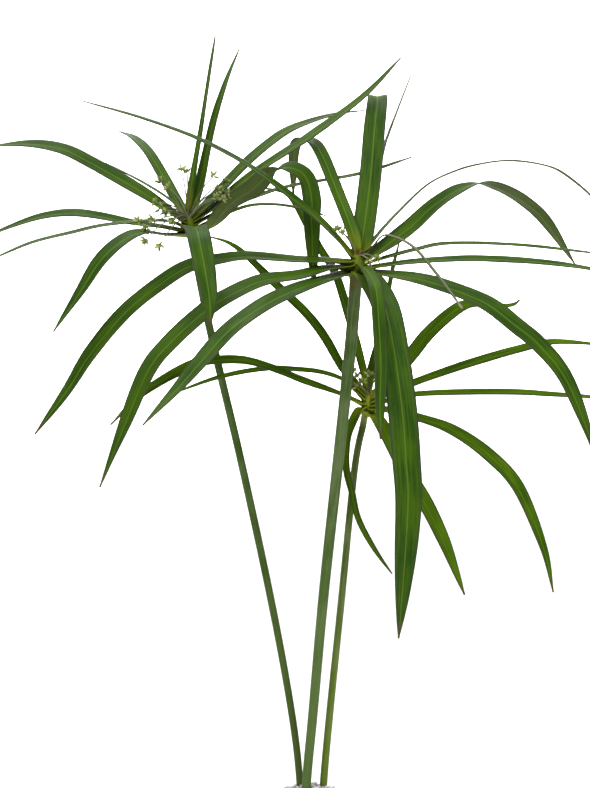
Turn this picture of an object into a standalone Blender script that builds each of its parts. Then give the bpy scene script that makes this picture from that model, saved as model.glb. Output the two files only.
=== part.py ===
"""Potted umbrella sedge: a planter of pale gravel, three culms and their crowns of bracts.

Lengths in the tables are millimetres. The origin is the centre of the planter's flat
underside, +Z is up and the side that is mostly looked at faces -Y.
"""

import math
import random
from dataclasses import dataclass

import bpy
import bmesh
from mathutils import Matrix, Vector

MM = 0.001

# Planter
POT_HEIGHT = 84.0
POT_BASE_RADIUS = 33.0
POT_RIM_RADIUS = 43.0
POT_WALL = 3.5
POT_FLOOR = 5.0
RIM_BAND_HEIGHT = 11.0
RIM_BAND_STEP = 2.0
RIM_ROUNDING = 1.4
POT_SIDES = 48

# Gravel that fills the planter and heaps round the culms
GRAVEL_TOP = 99.5
GRAVEL_EDGE_BELOW_RIM = 3.5
GRAVEL_HEAP_EXPONENT = 1.6
GRAVEL_RINGS = 7
GRAVEL_SIDES = 36
GRAVEL_BUMPS = (-0.7, 0.2)
GRAVEL_SEED = 7

# Gap between pieces that touch or pass through one another
CLEARANCE = 0.35

# Culms
CULM_SIDES = 12
CULM_STATIONS = 11
CULM_TOP_ABOVE_HUB = 8.0

# Bracts: widths and lengths of the blade, the gap from the culm's surface to its root,
# the length over which it opens out (at most a share of the blade) and its fold
BRACT_THICKNESS = 0.6
BRACT_STATION = 12.5
BRACT_MIN_STATIONS = 6
BRACT_ROOT_WIDTH = 2.4
BRACT_TIP_WIDTH = 0.9
BRACT_ROOT_GAP = 0.75
BRACT_OPENING = 26.0
BRACT_OPENING_SHARE = 0.4
BRACT_TAPER_POWER = 6.0
BRACT_POINT_POWER = 0.9
BRACT_FOLD = math.radians(13.0)

# Flower heads: each ray's (fraction of its length, radius), ending in its spikelets
HEAD_KNOB_RADIUS = 1.5
HEAD_RAY_RADIUS = 0.35
HEAD_RAY_ARCH = 0.13
SPIKELET_RADIUS = 1.5
SPIKELET_TIP_RADIUS = 0.2
RAY_PROFILE = [
    (0.12, HEAD_RAY_RADIUS),
    (0.35, HEAD_RAY_RADIUS),
    (0.65, HEAD_RAY_RADIUS),
    (0.90, HEAD_RAY_RADIUS),
    (0.93, SPIKELET_RADIUS),
    (1.02, SPIKELET_RADIUS),
    (1.06, SPIKELET_TIP_RADIUS),
]

# Smoothness of curves and shading, and the distance below which two corners are one
SAMPLES_PER_SPAN = 10
SMOOTH_BELOW = math.radians(50.0)
WELD = 0.001


@dataclass(frozen=True)
class Finish:
    """A plain surface: its colour, roughness and metallic value."""

    name: str
    colour: tuple
    roughness: float
    metallic: float = 0.0


POT_FINISH = Finish("planter_ceramic", (0.80, 0.79, 0.76), 0.45)
GRAVEL_FINISH = Finish("gravel", (0.60, 0.59, 0.61), 0.85)
CULM_FINISH = Finish("culm", (0.10, 0.18, 0.05), 0.50)
BRACT_FINISH = Finish("bract", (0.08, 0.20, 0.03), 0.45)
DRY_FINISH = Finish("dry_bract", (0.25, 0.24, 0.14), 0.70)
HEAD_FINISH = Finish("flower_head", (0.42, 0.47, 0.20), 0.70)


@dataclass(frozen=True)
class Culm:
    """A stem's centre line from its foot in the gravel to its hub, with radii there."""

    route: list
    foot_radius: float
    middle_radius: float
    top_radius: float

    @property
    def hub(self):
        return Vector(self.route[-1])

    @property
    def lean(self):
        """The direction of the culm's end, which its hub and flower head follow."""
        curve = smooth_curve(self.route)
        return (curve[-1] - curve[-2]).normalized()


@dataclass(frozen=True)
class Bract:
    """One leaf-like bract of a crown.

    azimuth: direction it leaves the hub in, degrees from +X towards +Y.
    width: widest place of the blade.
    level: height of its root above the hub, along the culm; neighbours differ, as in a whorl.
    route: (outward, up) places from the hub that its midrib passes through.
    roll: turns of the blade about its midrib, evenly spaced from root to tip, degrees.
    swing: sideways shift at each place of the route, for a bract that bends sideways.
    dry: a withered bract.
    """

    azimuth: float
    width: float
    level: float
    route: list
    roll: tuple = (0.0,)
    swing: tuple = ()
    dry: bool = False


CULMS = {
    "left": Culm(
        [(-4, 4, 62), (-5, 4, 98), (-9, 5, 132), (-18, 6, 182), (-32, 8, 248), (-46, 11, 308),
         (-54.5, 12, 353)],
        1.6, 1.75, 1.9),
    "middle": Culm(
        [(-3, -3, 62), (-2, -3, 98), (1, -3, 132), (6, -2, 189), (13, -1, 255), (18, 0, 303),
         (20.5, 0, 337)],
        2.0, 2.4, 2.9),
    "right": Culm(
        [(4, 5, 62), (6, 5, 98), (9, 7, 132), (14, 11, 181), (20, 17, 241), (24, 19, 262),
         (25.5, 20, 271)],
        1.8, 1.65, 1.6),
}

BRACTS = {
    "left": [
        Bract(165, 9.0, 1.6, [(16, 11), (28, 18), (47, 28), (61, 34), (78, 36), (99, 34)],
              (-5, -26, -27, -10)),
        Bract(182, 8.0, -1.8, [(14, 0), (27, 2), (49, 6), (65, 5), (81, 0), (95, -6)], (-5, -20, -10)),
        Bract(202, 6.0, 0.1, [(13, 3), (39, 2), (56, -1), (75, -5), (94, -12)], (-6, -4, 0)),
        Bract(220, 9.0, -3.0, [(12, -3), (28, -1), (40, -5), (51, -13), (61, -25), (76, -42)],
              (0, -13, 10)),
        Bract(118, 7.0, 3.4, [(14, 11), (28, 21), (43, 31), (59, 37), (75, 39)], (10, 10, 5)),
        Bract(92, 3.5, 7.2, [(4, 20), (13, 42), (24, 60), (40, 84)], (0, -50, -62, -65),
              (-1, -5, -8, -12)),
        Bract(60, 6.0, 4.6, [(7, 15.5), (14, 31.5), (21, 47), (31, 63), (43, 78)], (0, -24, -40)),
        Bract(38, 7.0, 3.2, [(15, 14), (30, 26), (42, 34), (55, 41), (69, 45), (85, 48), (101, 49)],
              (4, 10, 0)),
        Bract(26, 7.0, 2.0, [(13, 9), (22, 16.5), (35, 25), (60, 39), (88, 57), (107, 74)], (2, 12, 0)),
        Bract(346, 9.5, -2.8, [(9, 0), (19, 11), (29, 17.5), (37, 25), (45, 27), (52, 23), (55, 13),
                               (55, 2), (56, -27)],
              (-5, -40, -60, 30, 60, 60, 40), (0, 0, 1, 3, 5, 6, 6, 6, 6)),
        Bract(18, 4.5, 0.6, [(14, 6.5), (29, 12), (47, 17), (81, 22), (106, 29)], (8,)),
        Bract(275, 11.0, -2.0, [(12, 1), (32, 2), (47, -4), (58, -18), (63, -27), (67, -37)],
              (0, 0, -10), (0, 1, 2, 4, 5, 5)),
        Bract(9, 4.0, -1.0, [(11, 3), (25, 8.5), (36, 9.5), (48, 8), (62, 4)], (10,)),
        Bract(149, 3.0, 5.3, [(8, 9.8), (15, 14), (28, 20), (46, 27)], (10, 5, 10)),
    ],
    "middle": [
        Bract(80, 10.5, 4.2, [(7, 8), (26, 37), (44, 57), (60, 70), (72, 72), (87, 66), (101, 56)],
              (0,), (-1, -2, -1, 0, 2, 4, 6)),
        Bract(288, 13.5, -3.6, [(10, -4), (25, -12), (37, -21), (47, -39), (55, -59), (60, -79),
                                (63, -97), (64, -126), (61, -158)],
              (0, 0, 8, 0, -15), (1, 2.5, 2, 2, 2, 2, 2, 0, -1.5)),
        Bract(275, 7.0, -1.8, [(8, 0), (22, -3.5), (34, -9), (44, -22), (52, -39), (57, -54), (60, -70)],
              (-15, -25, -30), (2, 4, 5, 5, 5, 4, 4)),
        Bract(192, 8.0, 3.4, [(17, 20), (45, 42), (70, 56), (96, 66), (123, 74)], (-22, -26, -14, -8, -6)),
        Bract(113, 7.0, 6.2, [(6, 15.5), (21, 30), (39, 46.5), (51, 52.5), (65, 52.5), (72, 46),
                              (73, 26)],
              (0, 5, 0, 0, -10)),
        Bract(190, 11.0, 1.4, [(15, 2), (27, 2.5), (49, 4.5), (64, 3), (77, 0), (90, -8), (105, -20),
                               (120, -37.5), (131, -54.5), (145, -73)],
              (-5, -14, -28, -32, -30)),
        Bract(208, 11.0, -0.6, [(15, -1), (30, -3.5), (48, -5), (66, -11.5), (79, -19), (93, -30),
                                (104, -42), (117, -69), (127, -91)],
              (0, -18, -22, -20, 0)),
        Bract(227, 11.0, -2.8, [(12, -4), (37, -7.5), (61, -13.5), (82, -22.5), (99, -34), (114, -45),
                                (134, -58)],
              (0, -12, -5, 10)),
        Bract(40, 5.0, 2.8, [(13, 13), (26, 23), (43, 34), (61, 39.5), (78, 42), (94, 42.5), (114, 40),
                             (128, 35.5), (147, 24), (160, 12)],
              (-18, -24, -8, 8, 20)),
        Bract(30, 10.0, 1.4, [(10, 5), (27, 15), (40, 24.5), (51, 30.5), (60, 33.5), (68, 34), (80, 30),
                              (91, 24), (102, 15), (119, -6)],
              (5, 20, 12, -18, -24, -10)),
        Bract(14, 4.0, 0.0, [(14, 3), (27, 6), (43, 8.5), (76, 7), (116, 2)], (12,)),
        Bract(0, 7.0, -1.6, [(19, 0.5), (37, 2), (55, 2.5), (82, 1), (104, -2), (121, -6)], (10, 17, 10)),
        Bract(332, 2.0, 4.4, [(8.5, 9), (12, 13), (17, 13.5), (28, 9), (40, -3), (52, -17)], (10,),
              dry=True),
        Bract(340, 10.0, -3.0, [(11, -3.5), (29, -5.5), (45, -9.5), (61, -15.5), (74, -24.5), (85, -33),
                                (97, -47), (108, -72), (113, -88)],
              (5, 25, 34, 30, 10)),
        Bract(76, 3.0, 1.0, [(12, 7), (33, 25), (53, 46.5), (68, 56), (115, 80)], (0, -50, -60)),
        Bract(168, 2.4, -4.4, [(6, -5), (11, -5)], (0,), dry=True),
    ],
    "right": [
        Bract(142, 8.0, 6.0, [(5, 24), (10, 38), (18, 58), (29, 72), (42, 91), (51, 95), (64, 96)],
              (12, 9, 0)),
        Bract(160, 8.0, 4.0, [(11, 15), (20, 29), (29, 40), (44, 53), (64, 70), (80, 75)], (-6, -11, 0)),
        Bract(212, 8.0, 0.2, [(15, 6), (36, 14), (48, 19), (63, 24), (78, 25.5), (93, 24), (116, 14),
                              (133, 1)],
              (-15, -27, -18, 0)),
        Bract(196, 6.0, 2.0, [(6, 7), (12, 12), (22, 15.5), (32, 17), (47, 18), (69, 15), (92, 8)],
              (-15, -12, 0)),
        Bract(42, 8.0, 2.6, [(12, 7.5), (27, 19), (39, 29), (55, 38), (66, 41), (83, 39), (95, 38.5),
                             (100, 40.5)],
              (0, 15, 19, 18)),
        Bract(18, 8.0, 1.0, [(10, 4), (24, 9), (50, 16.5), (78, 23), (92, 25), (110, 23.5), (121, 21.5)],
              (5, 15, 10)),
        Bract(0, 7.0, -0.8, [(10, 1.5), (23, 4.5), (61, 5.5), (91, 4), (117, 2)], (8, 14, 5)),
        Bract(336, 9.0, -2.2, [(8, -2), (26, -5), (42, -9.5), (60, -20), (74, -34), (86, -60), (91, -80)],
              (5, 20, 8)),
        Bract(304, 10.0, -3.6, [(7, -5), (18, -14), (30, -26), (45, -39), (59, -54), (75, -76)],
              (-10, -5, -20)),
        Bract(255, 5.0, -1.4, [(7, -2), (13, -11), (15.5, -18), (17, -28), (18.5, -38), (18.5, -50),
                               (18, -63), (16, -75)],
              (0, 40, 42, 45), (-2, -5, -5.5, -5, -2, 1, 8, 16)),
        Bract(68, 5.0, 4.8, [(5, 13), (17, 30), (26, 44), (34, 59), (42, 70)], (0, -46, -46)),
    ],
}

# Places of the spikelet clusters from the hub, each on its own ray
FLOWER_HEADS = {
    "left": [
        (-4, 6, 26), (-1, -4, 23), (-13, 2, 20), (-8, -6, 16), (10, -4, 22), (16, 4, 21), (13, -5, 16),
        (15, -11, 13), (-15, -8, 10), (-11, -10, 6), (-22, -24, 4), (-18, -14, 3), (-18, -24, -5),
        (-12, -20, -7),
    ],
    "middle": [(-9, -3, 15), (-6, -5, 13), (5, -5, 12)],
    "right": [(-4, -3, 13), (-2, -6, 11), (1, -5, 14), (4, -4, 12), (6, -1, 14), (-6, -2, 15), (-4, -8, 9)],
}


def clear_scene():
    """Removes every object of the opened file."""
    for old in list(bpy.data.objects):
        bpy.data.objects.remove(old, do_unlink=True)


def make_material(finish):
    """Returns the finish's Principled material, made once."""
    material = bpy.data.materials.get(finish.name)
    if material is None:
        material = bpy.data.materials.new(finish.name)
        material.use_nodes = True
        shader = material.node_tree.nodes["Principled BSDF"]
        shader.inputs["Base Color"].default_value = (*finish.colour, 1.0)
        shader.inputs["Roughness"].default_value = finish.roughness
        shader.inputs["Metallic"].default_value = finish.metallic
        material.diffuse_color = (*finish.colour, 1.0)
    return material


def add_object(name, mesh, finish):
    """Links a new object for the mesh, in metres, with its finish."""
    mesh.transform(Matrix.Scale(MM, 4))
    mesh.materials.append(make_material(finish))
    made = bpy.data.objects.new(name, mesh)
    bpy.context.scene.collection.objects.link(made)
    return made


def finish_mesh(name, bm):
    """Turns the bmesh into a mesh with its faces outward and its slight angles shaded smooth."""
    bmesh.ops.recalc_face_normals(bm, faces=bm.faces)
    mesh = bpy.data.meshes.new(name)
    bm.to_mesh(mesh)
    bm.free()
    mesh.shade_smooth()
    mesh.set_sharp_from_angle(angle=SMOOTH_BELOW)
    return mesh


def smooth_curve(points):
    """Returns a smooth curve through the points (Catmull-Rom), with the points on it."""
    points = [Vector(point) for point in points]
    ends = [2 * points[0] - points[1], *points, 2 * points[-1] - points[-2]]
    curve = []
    for before, start, end, after in zip(ends, ends[1:], ends[2:], ends[3:]):
        for step in range(SAMPLES_PER_SPAN):
            t = step / SAMPLES_PER_SPAN
            bend = 2 * before - 5 * start + 4 * end - after
            twist = 3 * start - before - 3 * end + after
            curve.append(start + 0.5 * (t * (end - before) + t * t * bend + t ** 3 * twist))
    curve.append(points[-1])
    return curve


def curve_length(curve):
    """Returns the length of a chain of points."""
    return sum((b - a).length for a, b in zip(curve, curve[1:]))


def along(curve, fraction):
    """Returns the place and the direction at a fraction of the curve's length."""
    target = max(0.0, min(1.0, fraction)) * curve_length(curve)
    for a, b in zip(curve, curve[1:]):
        span = (b - a).length
        if target <= span:
            return a.lerp(b, target / span), (b - a).normalized()
        target -= span
    return curve[-1], (curve[-1] - curve[-2]).normalized()


def between(values, fraction):
    """Reads evenly spaced values at a fraction, straight from one to the next."""
    if len(values) == 1:
        return values[0]
    place = max(0.0, min(1.0, fraction)) * (len(values) - 1)
    index = min(int(place), len(values) - 2)
    return values[index] + (values[index + 1] - values[index]) * (place - index)


def turned_solid(name, outline, sides):
    """Spins an outline of (radius, height) points, both ends on the axis, into a solid."""
    bm = bmesh.new()
    verts = [bm.verts.new((radius, 0.0, height)) for radius, height in outline]
    edges = [bm.edges.new(pair) for pair in zip(verts, verts[1:])]
    bmesh.ops.spin(bm, geom=verts + edges, axis=(0, 0, 1), cent=(0, 0, 0), steps=sides,
                   angle=2 * math.pi)
    bmesh.ops.remove_doubles(bm, verts=bm.verts, dist=WELD)
    return finish_mesh(name, bm)


def culm_mesh(name, culm, grow=0.0, deeper=0.0):
    """Extrudes a ring up a culm's curve; grow widens it and deeper lowers its foot."""
    curve = smooth_curve(culm.route) + [culm.hub + culm.lean * CULM_TOP_ABOVE_HUB]
    curve[0] = curve[0] - Vector((0, 0, deeper))
    radii = (culm.foot_radius, culm.middle_radius, culm.top_radius)
    bm = bmesh.new()
    ring = bmesh.ops.create_circle(bm, segments=CULM_SIDES, radius=1.0, cap_ends=False)["verts"]
    unit = [vert.co.copy() for vert in ring]
    edges = list(bm.edges)
    foot_edges = list(edges)
    for station in range(CULM_STATIONS + 1):
        if station:
            made = bmesh.ops.extrude_edge_only(bm, edges=edges)["geom"]
            edges = [item for item in made if isinstance(item, bmesh.types.BMEdge) and item.is_boundary]
            fresh = {item for item in made if isinstance(item, bmesh.types.BMVert)}
            ring = [(fresh & {edge.other_vert(vert) for edge in vert.link_edges}).pop() for vert in ring]
        fraction = station / CULM_STATIONS
        place, direction = along(curve, fraction)
        turn = Vector((0, 0, 1)).rotation_difference(direction).to_matrix()
        for vert, co in zip(ring, unit):
            vert.co = place + turn @ (co * (between(radii, fraction) + grow))
    bmesh.ops.holes_fill(bm, edges=foot_edges + edges, sides=CULM_SIDES)
    return finish_mesh(name, bm)


def build_culm(side, culm):
    """Models one culm, a tapered round stem that leans and bends a little."""
    name = f"{side}_culm"
    return add_object(name, culm_mesh(name, culm), CULM_FINISH)


def wall_radius(height):
    """Returns the radius of the planter's tapered wall, outside, at a height."""
    share = height / (POT_HEIGHT - RIM_BAND_HEIGHT)
    return POT_BASE_RADIUS + (POT_RIM_RADIUS - RIM_BAND_STEP - POT_BASE_RADIUS) * share


def build_pot():
    """Models the planter: a plain tapered pot with a band round its rim."""
    lip = POT_RIM_RADIUS
    band_foot = POT_HEIGHT - RIM_BAND_HEIGHT
    inner_lip = lip - RIM_BAND_STEP - POT_WALL
    outline = [
        (0, 0),
        (POT_BASE_RADIUS - RIM_ROUNDING, 0),
        (POT_BASE_RADIUS, RIM_ROUNDING),
        (lip - RIM_BAND_STEP, band_foot),
        (lip, band_foot + RIM_ROUNDING),
        (lip, POT_HEIGHT - RIM_ROUNDING),
        (lip - RIM_ROUNDING, POT_HEIGHT),
        (inner_lip + RIM_ROUNDING, POT_HEIGHT),
        (inner_lip, POT_HEIGHT - RIM_ROUNDING),
        (wall_radius(band_foot - RIM_BAND_HEIGHT) - POT_WALL, band_foot),
        (wall_radius(POT_FLOOR) - POT_WALL, POT_FLOOR),
        (0, POT_FLOOR),
    ]
    return add_object("planter", turned_solid("planter", outline, POT_SIDES), POT_FINISH)


def build_gravel():
    """Models the gravel: it fills the planter, heaps in the middle and lets the culms through."""
    gap = POT_WALL + CLEARANCE
    foot = POT_FLOOR + CLEARANCE
    edge_height = POT_HEIGHT - GRAVEL_EDGE_BELOW_RIM
    edge_radius = wall_radius(POT_HEIGHT - 2 * RIM_BAND_HEIGHT) - gap
    outline = [(0, foot), (wall_radius(foot) - gap, foot), (edge_radius, edge_height)]
    for ring in range(GRAVEL_RINGS - 1, -1, -1):
        part = ring / GRAVEL_RINGS
        drop = (GRAVEL_TOP - edge_height) * part ** GRAVEL_HEAP_EXPONENT
        outline.append((edge_radius * part, GRAVEL_TOP - drop))
    mesh = turned_solid("gravel", outline, GRAVEL_SIDES)
    chance = random.Random(GRAVEL_SEED)
    for vert in mesh.vertices:
        if vert.co.z > edge_height + CLEARANCE:
            vert.co.z += chance.uniform(*GRAVEL_BUMPS)
    gravel = add_object("gravel", mesh, GRAVEL_FINISH)
    for side, culm in CULMS.items():
        shape = culm_mesh(f"{side}_culm_hole", culm, grow=CLEARANCE, deeper=CLEARANCE)
        cutter = add_object(f"{side}_culm_hole", shape, GRAVEL_FINISH)
        cutter.hide_render = True
        cutter.display_type = "WIRE"
        cut = gravel.modifiers.new(f"{side} culm", "BOOLEAN")
        cut.operation = "DIFFERENCE"
        cut.solver = "EXACT"
        cut.object = cutter
    return gravel


def blade_width(bract, distance, length):
    """Returns the blade's width at a distance from the root: narrow, full, then a long point."""
    ease = min(1.0, distance / min(BRACT_OPENING, BRACT_OPENING_SHARE * length))
    opening = BRACT_ROOT_WIDTH + (bract.width - BRACT_ROOT_WIDTH) * ease * (2.0 - ease)
    point = max(0.0, 1.0 - (distance / length) ** BRACT_TAPER_POWER) ** BRACT_POINT_POWER
    return max(BRACT_TIP_WIDTH, opening * point)


def build_bract(name, culm, bract):
    """Models one bract: a grid bent onto its midrib, folded along it and given a thickness."""
    heading = math.radians(bract.azimuth)
    outward = Vector((math.cos(heading), math.sin(heading), 0.0))
    leftward = Vector((-math.sin(heading), math.cos(heading), 0.0))
    root = culm.hub + culm.lean * bract.level + outward * (culm.top_radius + BRACT_ROOT_GAP)
    swing = bract.swing or (0.0,) * len(bract.route)
    route = [root] + [culm.hub + outward * out + leftward * shift + Vector((0, 0, up))
                      for (out, up), shift in zip(bract.route, swing)]
    curve = smooth_curve(route)
    length = curve_length(curve)
    stations = max(BRACT_MIN_STATIONS, round(length / BRACT_STATION))

    bm = bmesh.new()
    bmesh.ops.create_grid(bm, x_segments=2, y_segments=stations, size=1.0)
    for vert in bm.verts:
        across = vert.co.x
        fraction = (vert.co.y + 1.0) / 2.0
        place, direction = along(curve, fraction)
        side = (leftward - direction * leftward.dot(direction)).normalized()
        side.rotate(Matrix.Rotation(math.radians(between(bract.roll, fraction)), 3, direction))
        upper = direction.cross(side)
        half = 0.5 * blade_width(bract, fraction * length, length)
        vert.co = place + side * (across * half * math.cos(BRACT_FOLD)) + upper * (
            (abs(across) - 0.5) * half * math.sin(BRACT_FOLD))
    made = add_object(name, finish_mesh(name, bm), DRY_FINISH if bract.dry else BRACT_FINISH)
    shell = made.modifiers.new("thickness", "SOLIDIFY")
    shell.thickness = BRACT_THICKNESS * MM
    shell.offset = 0.0
    return made


def build_flower_head(side, culm, spikelets):
    """Models one flower head: a knob on the culm's end whose faces are drawn out into rays."""
    knob = culm.lean * (CULM_TOP_ABOVE_HUB + HEAD_KNOB_RADIUS + CLEARANCE)
    bm = bmesh.new()
    bmesh.ops.create_icosphere(bm, subdivisions=2, radius=HEAD_KNOB_RADIUS)
    free_faces = set(bm.faces)
    for place in spikelets:
        tip = Vector(place) - knob
        face = max(free_faces, key=lambda item: item.normal.dot(tip.normalized()))
        free_faces -= {other for edge in face.edges for other in edge.link_faces}
        start = face.calc_center_median()
        ray = tip - start
        unit = [(vert.co - start).normalized() for vert in face.verts]
        lean = face.normal.rotation_difference(ray.normalized()).to_matrix()
        for fraction, radius in RAY_PROFILE:
            face = bmesh.ops.extrude_discrete_faces(bm, faces=[face])["faces"][0]
            arch = Vector((0, 0, 4.0 * HEAD_RAY_ARCH * ray.length * fraction * max(0.0, 1.0 - fraction)))
            for vert, spoke in zip(face.verts, unit):
                vert.co = start + ray * fraction + arch + lean @ (spoke * radius)
    for vert in bm.verts:
        vert.co = vert.co + culm.hub + knob
    mesh = finish_mesh(f"{side}_flower_head", bm)
    return add_object(f"{side}_flower_head", mesh, HEAD_FINISH)


def main():
    """Builds the planter, the gravel and the three stems with their crowns."""
    clear_scene()
    build_pot()
    build_gravel()
    for side, culm in CULMS.items():
        build_culm(side, culm)
        for number, bract in enumerate(BRACTS[side], start=1):
            build_bract(f"{side}_bract_{number:02d}", culm, bract)
        build_flower_head(side, culm, FLOWER_HEADS[side])


main()
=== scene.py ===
"""Looks of the potted umbrella sedge: its blades, culms, flower heads, gravel and planter.

The tables are in millimetres and MM turns them into metres. Every piece is modelled in the
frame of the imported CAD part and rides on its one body.
"""

from __future__ import annotations

import logging
import math
import random
from dataclasses import dataclass, field, replace
from enum import Enum

import bmesh
import bpy
from mathutils import Matrix, Vector, noise

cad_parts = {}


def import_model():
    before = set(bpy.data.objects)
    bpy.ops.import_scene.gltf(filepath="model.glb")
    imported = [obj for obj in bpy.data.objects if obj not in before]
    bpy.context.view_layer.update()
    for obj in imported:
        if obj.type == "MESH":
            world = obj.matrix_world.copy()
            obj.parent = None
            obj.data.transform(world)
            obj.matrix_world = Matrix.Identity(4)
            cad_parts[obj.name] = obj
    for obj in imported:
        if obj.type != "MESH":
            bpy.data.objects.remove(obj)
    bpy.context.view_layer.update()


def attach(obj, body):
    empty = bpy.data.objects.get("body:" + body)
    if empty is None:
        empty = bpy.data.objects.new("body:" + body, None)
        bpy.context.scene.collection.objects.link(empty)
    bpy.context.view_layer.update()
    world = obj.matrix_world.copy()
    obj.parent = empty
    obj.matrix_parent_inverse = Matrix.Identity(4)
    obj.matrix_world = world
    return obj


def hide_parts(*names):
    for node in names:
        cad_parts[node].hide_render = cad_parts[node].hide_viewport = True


log = logging.getLogger("umbrella_sedge")

MM = 0.001
BODY = "root"
Colour = tuple[float, float, float]


class Slot(Enum):
    """The record's material slots."""

    PLANTER = "planter"
    GRAVEL = "gravel"
    CULM = "culm"
    BRACT = "bract"
    DRY_BRACT = "dry_bract"
    FLOWER_HEAD = "flower_head"


class Trait(Enum):
    """Values that a mesh carries at its corners for its material to read."""

    ACROSS = "across"
    ALONG = "along"
    REACH = "reach"
    SIDEWAYS = "sideways"
    TONE = "tone"
    AROUND = "around"
    LEVEL = "level"


@dataclass(frozen=True)
class Stem:
    """A culm's centre line from its foot to its hub, and its radii there.

    Attributes:
        route: places of the centre line, the last one at the hub.
        radii: radius at the foot, the middle and the top.
    """

    route: list[tuple[float, float, float]]
    radii: tuple[float, float, float]

    @property
    def hub(self) -> Vector:
        """The place where the crown's bracts leave the culm."""
        return Vector(self.route[-1])

    @property
    def lean(self) -> Vector:
        """The direction of the culm's end."""
        curve = smooth_curve(self.route)
        return (curve[-1] - curve[-2]).normalized()


@dataclass(frozen=True)
class Bract:
    """One leaf-like bract of a crown, as in the CAD part.

    Attributes:
        azimuth: direction it leaves the hub in, degrees from +X towards +Y.
        width: widest place of the blade.
        level: height of its root above the hub, along the culm.
        route: (outward, up) places from the hub that its midrib passes through.
        roll: turns of the blade about its midrib, from root to tip, degrees.
        swing: sideways shift at each place of the route.
        dry: a withered bract.
    """

    azimuth: float
    width: float
    level: float
    route: list[tuple[float, float]]
    roll: tuple[float, ...] = (0.0,)
    swing: tuple[float, ...] = ()
    dry: bool = False


STEMS = {
    "left": Stem(
        [(-4, 4, 62), (-5, 4, 98), (-9, 5, 132), (-18, 6, 182), (-32, 8, 248), (-46, 11, 308),
         (-54.5, 12, 353)],
        (1.6, 1.75, 1.9)),
    "middle": Stem(
        [(-3, -3, 62), (-2, -3, 98), (1, -3, 132), (6, -2, 189), (13, -1, 255), (18, 0, 303),
         (20.5, 0, 337)],
        (2.0, 2.4, 2.9)),
    "right": Stem(
        [(4, 5, 62), (6, 5, 98), (9, 7, 132), (14, 11, 181), (20, 17, 241), (24, 19, 262),
         (25.5, 20, 271)],
        (1.8, 1.65, 1.6)),
}

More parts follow.
